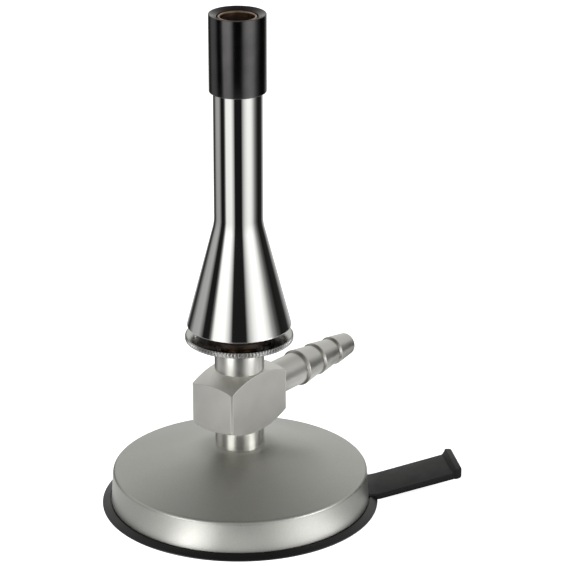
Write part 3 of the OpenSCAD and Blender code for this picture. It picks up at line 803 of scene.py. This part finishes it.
# %% Handle's top line
HANDLE_TURN = math.radians(-41.5)
HANDLE_REACH = 69.0
HANDLE_HALF = 7.5
HANDLE_T = 2.1
HANDLE_ROOT_H = 1.8
HANDLE_RISE = math.tan(math.radians(12.5))
RISE_CURVE = 20.0
STOP_H = 1.0
STOP_L = 2.0
STOP_SIDE = 0.4
CORNER = 1.2
END_ROUND = 0.4
SIDE_ROUND = 0.3
ROOT_CURVE = base_high.x + 0.1
ROOT_BLEND = 1.5
BELOW = -9
root = math.sqrt(ROOT_CURVE ** 2 - HANDLE_HALF ** 2)
end_top = HANDLE_ROOT_H + (HANDLE_REACH - foot_r) * HANDLE_RISE
stop = HANDLE_REACH - STOP_L
top_line = soften([
    (root, BELOW), (root, HANDLE_ROOT_H), (foot_r, HANDLE_ROOT_H, RISE_CURVE),
    (stop - STOP_H, end_top - (STOP_L + STOP_H) * HANDLE_RISE, 0.8), (stop, end_top + STOP_H, 0.35),
    (HANDLE_REACH, end_top + STOP_H, END_ROUND), (HANDLE_REACH, BELOW)], steps=6)[1:-1]
print("the handle rises to", round(end_top + STOP_H, 1), "mm")

# %% [markdown]
# ## The handle's sections
# Each section is a rectangle with round corners. Its half width shrinks round the end's corners,
# its floor lifts to round the lower end, and near the root it bends along the base disc's wall.


# %% Handle's sections
def limited(value):
    """A value held between 0 and 1."""
    return min(1.0, max(0.0, value))


def between(line, x):
    """The height of a line of (x, z) points at x."""
    for (x0, z0), (x1, z1) in zip(line, line[1:]):
        if x0 <= x <= x1 and x1 > x0:
            return z0 + (z1 - z0) * (x - x0) / (x1 - x0)
    return line[-1][1]


def rounded_off(x, radius):
    """How far a rounding of the handle's end cuts in at x."""
    past = max(0.0, x - HANDLE_REACH + radius)
    return radius - math.sqrt(max(0.0, radius ** 2 - past ** 2))


def handle_section(builder, x):
    """A ring of points: the handle's section at x. The first ones follow the base disc's wall."""
    half = HANDLE_HALF + STOP_SIDE * limited((x - stop + STOP_SIDE) / STOP_SIDE) - rounded_off(x, CORNER)
    top = between(top_line, x)
    bottom = max(0.0, x - foot_r) / (HANDLE_REACH - foot_r) * (end_top - HANDLE_T)
    bottom += rounded_off(x, END_ROUND)
    join = min(1.0, (x - root) / (foot_r + ROOT_BLEND - root))
    section = []
    for side, level, start in ((1, 1, 0), (-1, 1, 90), (-1, -1, 180), (1, -1, 270)):
        middle_y = side * (half - SIDE_ROUND)
        middle_z = top - SIDE_ROUND if level > 0 else bottom + SIDE_ROUND
        for k in range(5):
            a = math.radians(start + 22.5 * k)
            y, z = middle_y + SIDE_ROUND * math.cos(a), middle_z + SIDE_ROUND * math.sin(a)
            curved = math.sqrt(ROOT_CURVE ** 2 - min(y * y, HANDLE_HALF ** 2))
            section.append(builder.verts.new(((x + (curved - root) * (1 - join)) * MM, y * MM, z * MM)))
    return section


middle = (foot_r + HANDLE_REACH) / 2
print("half way along, the handle's top is at", round(between(top_line, middle), 1), "mm")

# %% [markdown]
# ## The handle's mesh
# The sections stand close together where the outline bends and far apart where it is straight, and
# faces join them. The finished bar is then turned to its place beside the nozzle.

# %% Handle
stations = [x for x, z in top_line] + [stop - STOP_SIDE, root + 0.8, root + 1.6]
stations += [HANDLE_REACH - CORNER * (1 - math.sin(math.pi / 2 * k / 6)) for k in range(7)]
handle_mesh = bmesh.new()
sections = [handle_section(handle_mesh, x) for x in sorted(set(round(x, 4) for x in stations))]
skin(handle_mesh, sections, False)
handle_mesh.faces.new(sections[0])
handle_mesh.faces.new(sections[-1])
bmesh.ops.transform(handle_mesh, matrix=Matrix.Rotation(HANDLE_TURN, 4, "Z"), verts=handle_mesh.verts)
handle = piece("foot_ring_handle", handle_mesh, black_grip, sharp=35)
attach(handle, "burner")
reach = max(vert.co.length for vert in handle.data.vertices)
print("the handle reaches", round(reach / MM, 1), "mm from the axis")

# %% [markdown]
# ## The base disc
# A casting, turned and painted: an upright wall that leans in a hair, a rolled edge, and a
# shallow cone up to the body. Underneath it is hollowed for the screw. A few extra rings near the
# stub carry the mark for painted shade, which fades out over their width.

# %% Base disc
STUB_R = 7.6
SKIRT = 4.5
DRAFT = 0.6
WALL_H = 10.0
RECESS = 4.0
SCREW_HOLE_R = 3.3
WASHER_SEAT_R = 6.6
SHADE_OUT = 7.6
body_low, body_high = extent("burner_body")
washer_top = extent("base_washer")[1].z
rim_z = base_low.z + WALL_H
recess_z = base_low.z + RECESS
slope = (base_high.z - rim_z) / (base_high.x - DRAFT - STUB_R)
base_outline = soften([
    (base_high.x, base_low.z, 0.3), (base_high.x - DRAFT, rim_z, 1.3),
    *((STUB_R + SHADE_OUT * k / 4, base_high.z - SHADE_OUT * k / 4 * slope) for k in (4, 3, 2, 1)),
    (STUB_R, base_high.z), (SCREW_HOLE_R, base_high.z), (SCREW_HOLE_R, washer_top),
    (WASHER_SEAT_R, washer_top), (WASHER_SEAT_R, recess_z, 0.4),
    (base_high.x - SKIRT, recess_z, 0.4), (base_high.x - SKIRT, base_low.z, 0.3)], steps=6)
base_mesh = swing(base_outline, segments=256)
# The mark for painted shade round the stub's foot, strongest at the stub
painted_shade = base_mesh.verts.layers.float.new("painted_shade")
for vert in base_mesh.verts:
    if vert.co.z > rim_z * MM:
        share_out = limited((vert.co.to_2d().length / MM - STUB_R) / SHADE_OUT)
        vert[painted_shade] = 0.5 + 0.5 * math.cos(math.pi * share_out)
base = piece("base_disc_painted", base_mesh, grey_paint, sharp=35)
stand_in(base, "base_disc")

# %% [markdown]
# ## The body
# A bar of brass, milled flat on four sides and turned on the other axis, so that its top and
# bottom are shallow crowns and their edges sweep up in curves between the corners. A boolean of a
# box and a lathed shape would give that too, but with long thin faces that shade badly. So shells
# of the bar's outline shrink towards the stub here, each point at the crown's height.

# %% Crown of the block
BLOCK_L = 26.6
BLOCK_W = 16.0
BLOCK_H = 19.0
BLOCK_FOOT = 6.1
EDGE_H = 12.4
BULGE = 0.35
CHAMFER = 0.5
OUTLINE_STEP = 0.4
block_low = body_low.z + BLOCK_FOOT
block_high = block_low + BLOCK_H
corner_r = math.hypot(BLOCK_L, BLOCK_W) / 2


def crown_drop(x, y):
    """How far the turned crown lies under the block's top at a place."""
    share = max(0.0, (math.hypot(x, y) - STUB_R) / (corner_r - STUB_R))
    return (BLOCK_H - EDGE_H) / 2 * share - 4 * BULGE * share * (1 - share)


def block_outline():
    """Places along the block's whole outline, fine enough to follow the crown's curve."""
    half_l, half_w = BLOCK_L / 2, BLOCK_W / 2
    corners = [(half_l, -half_w + CHAMFER), (half_l, half_w - CHAMFER), (half_l - CHAMFER, half_w),
               (-half_l + CHAMFER, half_w), (-half_l, half_w - CHAMFER), (-half_l, -half_w + CHAMFER),
               (-half_l + CHAMFER, -half_w), (half_l - CHAMFER, -half_w)]
    outline = []
    for (x0, y0), (x1, y1) in zip(corners, corners[1:] + corners[:1]):
        count = max(1, round(math.hypot(x1 - x0, y1 - y0) / OUTLINE_STEP))
        outline += [(x0 + (x1 - x0) * k / count, y0 + (y1 - y0) * k / count) for k in range(count)]
    return outline


print("the crown falls", round(crown_drop(BLOCK_L / 2, BLOCK_W / 2), 2), "mm to the corners")

# %% [markdown]
# ## The block's mesh
# The edges between crown and side get a narrow bead, so that they catch light, and every point
# says how much it is rubbed: upright corners most, edges less, the upper crown as the disc is
# turned above it. The same mark paints those places a lighter colour, a painted highlight.

# %% Block
CROWN_RINGS = 14
BEAD = 0.12
# Rubbed places are smoother and also painted lighter, a painted highlight
RUB_AND_HIGHLIGHT_FADE = 0.4
CORNER_RUB_AND_HIGHLIGHT, EDGE_RUB_AND_HIGHLIGHT, CROWN_RUB_AND_HIGHLIGHT = 0.85, 0.35, 0.4
CENTRE_R = STUB_R - 0.5
TOLERANCE = 0.01


def block_mesh():
    """Shells of the block's outline, from the lower stub out and up and back to the upper stub."""
    builder = bmesh.new()
    rub_and_highlight = builder.verts.layers.float.new("rub_and_highlight")
    outline = block_outline()
    crown = [min(1 - BEAD / 8, k / CROWN_RINGS) for k in range(CROWN_RINGS + 1)]
    bead = [(1 - BEAD / 40, BEAD / 4, EDGE_RUB_AND_HIGHLIGHT), (1, BEAD, EDGE_RUB_AND_HIGHLIGHT), (1, BEAD + RUB_AND_HIGHLIGHT_FADE, 0.0)]
    # Each shell: its side, its share of the way out, its depth under the crown and its rub, which also
    # paints a highlight
    shells = [(-1, share, 0.0, 0.0) for share in crown] + [(-1, *edge) for edge in bead]
    shells += [(1, *edge) for edge in reversed(bead)]
    shells += [(1, share, 0.0, CROWN_RUB_AND_HIGHLIGHT) for share in reversed(crown)]
    loops = []
    for side, share, depth, wear_and_highlight in shells:
        ring = []
        for x, y in outline:
            r = math.hypot(x, y)
            scale = (CENTRE_R + (r - CENTRE_R) * share) / r
            px, py = x * scale, y * scale
            inset = crown_drop(px, py) + depth
            z = block_high - inset if side > 0 else block_low + inset
            vert = builder.verts.new((px * MM, py * MM, z * MM))
            at_corner = BLOCK_L / 2 - abs(x) + BLOCK_W / 2 - abs(y) < CHAMFER + TOLERANCE
            # The rub mark also paints a lighter colour: painted highlight
            vert[rub_and_highlight] = max(wear_and_highlight, CORNER_RUB_AND_HIGHLIGHT if at_corner and share == 1 else 0.0)
            ring.append(vert)
        loops.append(ring)
    skin(builder, loops, True)
    return builder


block = piece("burner_block", block_mesh(), satin_nickel, sharp=22)
stand_in(block, "burner_body")

# %% [markdown]
# ## The stubs
# Above and below the block the bar is left round. The stubs are meshes of their own because their
# turned surface is much brighter than the blasted block, the lower one also by a colour painted
# lighter, and each sinks a little into it.

# %% Stubs
SINK = 0.4
LOWER_BORE_R = 3.0
UPPER_BORE_R = 5.0
lower_stub = piece("lower_stub", swing(soften([
    (STUB_R, body_low.z, 0.15), (STUB_R, block_low + SINK), (LOWER_BORE_R, block_low + SINK),
    (LOWER_BORE_R, body_low.z, 0.15)])), nickel_painted_lighter)
upper_stub = piece("upper_stub", swing(soften([
    (STUB_R, block_high - SINK), (STUB_R, body_high.z, 0.35), (UPPER_BORE_R, body_high.z, 0.2),
    (UPPER_BORE_R, block_high - SINK)])), soft_nickel)
for stub in (lower_stub, upper_stub):
    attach(stub, "burner")

# %% [markdown]
# ## The hose nozzle
# Turned like the rest, then blasted: a plain root and three barbs, each a step towards the body
# and a long taper towards the tip, so that the hose goes on easily and comes off badly. Extra
# rings stand close to each step, so that the smooth shading stays on the taper and the mark for
# painted shade stays in the corner.

# %% Hose nozzle
ROOT_R = 5.2
ROOT_L = 14.4
ROOT_SINK = 1.0
ROOT_RING = 1.2
CRESTS = [5.85, 5.225, 4.6]
BARB_PITCH = 8.9
BARB_TAPER = 1.1
TAPER_L = BARB_PITCH - 0.8
TAPER_RINGS = (0.1, 0.9)
STEP_BACK, STEP_ON = 0.35, 0.45
WAY_R = 2.1
# Where the painted shade at each step begins, ends and fades, measured from the step
SHADE_FROM, SHADE_TO, SHADE_FADE = -0.9, 0.5, 0.4
nozzle_low, nozzle_high = extent("hose_nozzle")
face_x = BLOCK_L / 2
starts = [face_x + ROOT_L + BARB_PITCH * i for i in range(len(CRESTS))]
nozzle_outline = [(WAY_R, face_x - ROOT_SINK), (ROOT_R, face_x - ROOT_SINK),
                  (ROOT_R, starts[0] - ROOT_RING)]
valley = ROOT_R
for start, crest in zip(starts, CRESTS):
    nozzle_outline += [(valley, start - STEP_BACK, 0.45), (crest, start + STEP_ON, 0.4)]
    nozzle_outline += [(crest - BARB_TAPER * share, start + STEP_ON + TAPER_L * share)
                       for share in TAPER_RINGS]
    valley = crest - BARB_TAPER
nozzle_outline += [(valley, nozzle_high.x, 1.3), (WAY_R, nozzle_high.x)]
nozzle_mesh = swing(soften(nozzle_outline, steps=6), segments=160)
# Painted shade: each step's corner is painted darker
painted_shade = nozzle_mesh.verts.layers.float.new("painted_shade")
for vert in nozzle_mesh.verts:
    past = [vert.co.z / MM - start for start in starts]
    vert[painted_shade] = max(limited((SHADE_TO - d) / SHADE_FADE) if d > SHADE_FROM else 0.0 for d in past)
nozzle_z = (nozzle_low.z + nozzle_high.z) / 2
lay_down = Matrix.Translation((0, 0, nozzle_z * MM)) @ Matrix.Rotation(math.pi / 2, 4, "Y")
bmesh.ops.transform(nozzle_mesh, matrix=lay_down, verts=nozzle_mesh.verts)
nozzle = piece("hose_nozzle_barbed", nozzle_mesh, fine_nickel, sharp=35)
stand_in(nozzle, "hose_nozzle")

# %% [markdown]
# ## The air disc
# The disc screws up and down on the stem to close or open the gap under the cone. Its rim is
# straight knurled for the fingers. Bumps in the material would leave the rim's outline smooth, so
# the lathe cuts the teeth itself: each tooth is a few steps of the turn, and the rim is cut back
# between them.

# %% Air disc
TEETH = 96
KNURL_DEPTH = 0.35
KNURL_W = 0.6
TOOTH = [0.0, 0.0, 0.5, 1.0, 1.0, 0.5]
DISC_BORE_R = 8.05
DISC_EDGE = 0.3
FACE_EDGE = 0.7
RIM_W = 0.55
FACING_DOWN = -0.9
disc_low, disc_high = extent("air_disc")
disc_r = disc_high.x


def knurl(radius, height, step):
    """Cuts the rim back between the teeth."""
    into_rim = max(0.0, (radius - (disc_r - KNURL_W)) / KNURL_W)
    return radius - KNURL_DEPTH * TOOTH[step % len(TOOTH)] * into_rim


disc_outline = soften([
    (DISC_BORE_R, disc_low.z, 0.1), (disc_r - DISC_EDGE, disc_low.z), (disc_r, disc_low.z + DISC_EDGE),
    (disc_r, disc_high.z - DISC_EDGE), (disc_r - DISC_EDGE, disc_high.z),
    (disc_r - FACE_EDGE, disc_high.z),
    (DISC_BORE_R, disc_high.z, 0.1)])
disc = piece("air_disc_knurled", swing(disc_outline, TEETH * len(TOOTH), knurl), disc_chrome, sharp=30)
disc.data.materials.append(satin_chrome)
disc.data.materials.append(chrome)
for polygon in disc.data.polygons:
    if Vector(polygon.center[:2]).length > (disc_r - RIM_W) * MM:
        polygon.material_index = 1
    elif polygon.normal.z < FACING_DOWN:
        polygon.material_index = 2
stand_in(disc, "air_disc")

# %% [markdown]
# ## The stem's thread
# The stem carries the disc, and its thread shows between disc and body. A plain cylinder with a
# drawn thread would look flat from the side, so the skin really waves in and out along a helix.
# The thread runs out at both ends, as a cut one does.

# %% Thread
THREAD_PITCH = 1.5
THREAD_DEPTH = 0.8
STEPS_PER_PITCH = 10
RUN_OUT = 0.8
NECK = 0.5
THREAD_FOOT = 0.6
SEAT_H = 7.8
STEM_R = 6.0
FOOT_R = 4.95
TOP_R = 5.0
GAS_WAY_R = 2.0
ROUNDS = 96
stem_low, stem_high = extent("stem")
stem_seat = body_high.z + SEAT_H
thread_low, thread_high = body_high.z + THREAD_FOOT, stem_seat - NECK


def thread_radius(height, turn):
    """The skin's radius at a height and a share of the turn."""
    phase = (height / THREAD_PITCH - turn) % 1.0
    cut = max(0.0, min(1.0, (height - thread_low) / RUN_OUT, (thread_high - height) / RUN_OUT))
    return STEM_R - THREAD_DEPTH * abs(2 * phase - 1) * cut - NECK * (1 - cut)


print("the thread is", round(thread_high - thread_low, 1), "mm long")

# %% [markdown]
# ## The stem
# Under the thread a slimmer foot screws into the block, and above it a slimmer top carries the
# spider. The way for the gas goes right through. Only the threaded rows change with the turn, so
# the columns of points are written out here, and the same skin as on the lathe joins them.


# %% Stem
def stem_mesh():
    """A column whose skin waves in and out along a helix between the stub and the spider."""
    count = round((thread_high - thread_low) / (THREAD_PITCH / STEPS_PER_PITCH))
    heights = [thread_low + (thread_high - thread_low) * k / count for k in range(count + 1)]
    below = [(FOOT_R, stem_low.z), (FOOT_R, body_high.z), (STEM_R - NECK, body_high.z)]
    above = [(STEM_R - NECK, stem_seat), (TOP_R, stem_seat), (TOP_R, stem_high.z),
             (GAS_WAY_R, stem_high.z), (GAS_WAY_R, stem_low.z)]
    builder = bmesh.new()
    rings = []
    for s in range(ROUNDS):
        turn = s / ROUNDS
        angle = 2 * math.pi * turn
        rows = below + [(thread_radius(height, turn), height) for height in heights] + above
        across, along = math.cos(angle) * MM, math.sin(angle) * MM
        rings.append([builder.verts.new((r * across, r * along, height * MM)) for r, height in rows])
    skin(builder, rings, True)
    return builder


stem = piece("stem_threaded", stem_mesh(), aged_brass, sharp=35)
stand_in(stem, "stem")

# %% [markdown]
# ## The mixing tube
# The tube is spun out to a cone at its foot, with a soft blend where the two meet. Spinning leaves
# no seam and no edge there, so the outline's corner gets a rounding of 14 mm. Seen from below the
# wall has a thickness, so the outline goes up the inside as well.

# %% Mixing tube
TUBE_R = 7.4
CONE_R = 15.95
CONE_H = 33.0
BLEND_R = 14.0
TUBE_WALL = 0.8
# The cone's wall leans, so it is a little thicker when measured level
CONE_WALL = TUBE_WALL * 1.03
cone_top = tube_low.z + CONE_H
tube_outline = soften([
    (CONE_R, tube_low.z, 0.15), (TUBE_R, cone_top, BLEND_R), (TUBE_R, tube_high.z, 0.2),
    (TUBE_R - TUBE_WALL, tube_high.z, 0.2), (TUBE_R - TUBE_WALL, cone_top, BLEND_R + TUBE_WALL),
    (CONE_R - CONE_WALL, tube_low.z, 0.15)], steps=10)
tube = piece("mixing_tube_chromed", swing(tube_outline, segments=256), chrome, sharp=40)
stand_in(tube, "mixing_tube")

# %% [markdown]
# ## The burner head
# The head is a plain sleeve with small bevels and a countersunk mouth. Inside it steps in to hold
# the mouth ring, with a chamber round it that feeds the small flames which steady the big one.
# The mark for soot fades out where the mouth meets the outer wall.

# %% Burner head
HEAD_R = 8.6
SINK_R = 8.2
SINK_H = 0.8
SLIT_R = 6.2
SLIT_H = 1.5
CHAMBER_R = 7.2
RING_SEAT_R = 5.95
RING_SEAT_H = 2.5
TUBE_SEAT_R = TUBE_R + 0.05
SOOT_DEPTH = 2.5
SOOT_FADE = 0.2
head_low, head_high = extent("burner_head")
grip_top = tube_high.z + 0.1
lip_z = head_high.z - SINK_H
head_outline = soften([
    (HEAD_R, head_low.z, 0.35), (HEAD_R, head_high.z, 0.2), (SINK_R, head_high.z, 0.08),
    (SLIT_R, lip_z, 0.1), (SLIT_R, lip_z - SLIT_H), (CHAMBER_R, lip_z - SLIT_H),
    (CHAMBER_R, grip_top + RING_SEAT_H),
    (RING_SEAT_R, grip_top + RING_SEAT_H), (RING_SEAT_R, grip_top), (TUBE_SEAT_R, grip_top),
    (TUBE_SEAT_R, head_low.z, 0.25)])
head_mesh = swing(head_outline, segments=224)
soot = head_mesh.verts.layers.float.new("soot")
for vert in head_mesh.verts:
    if vert.co.z > (head_high.z - SOOT_DEPTH) * MM:
        vert[soot] = limited((HEAD_R - vert.co.to_2d().length / MM) / SOOT_FADE)
head = piece("burner_head_black", head_mesh, black_metal, sharp=35)
stand_in(head, "burner_head")
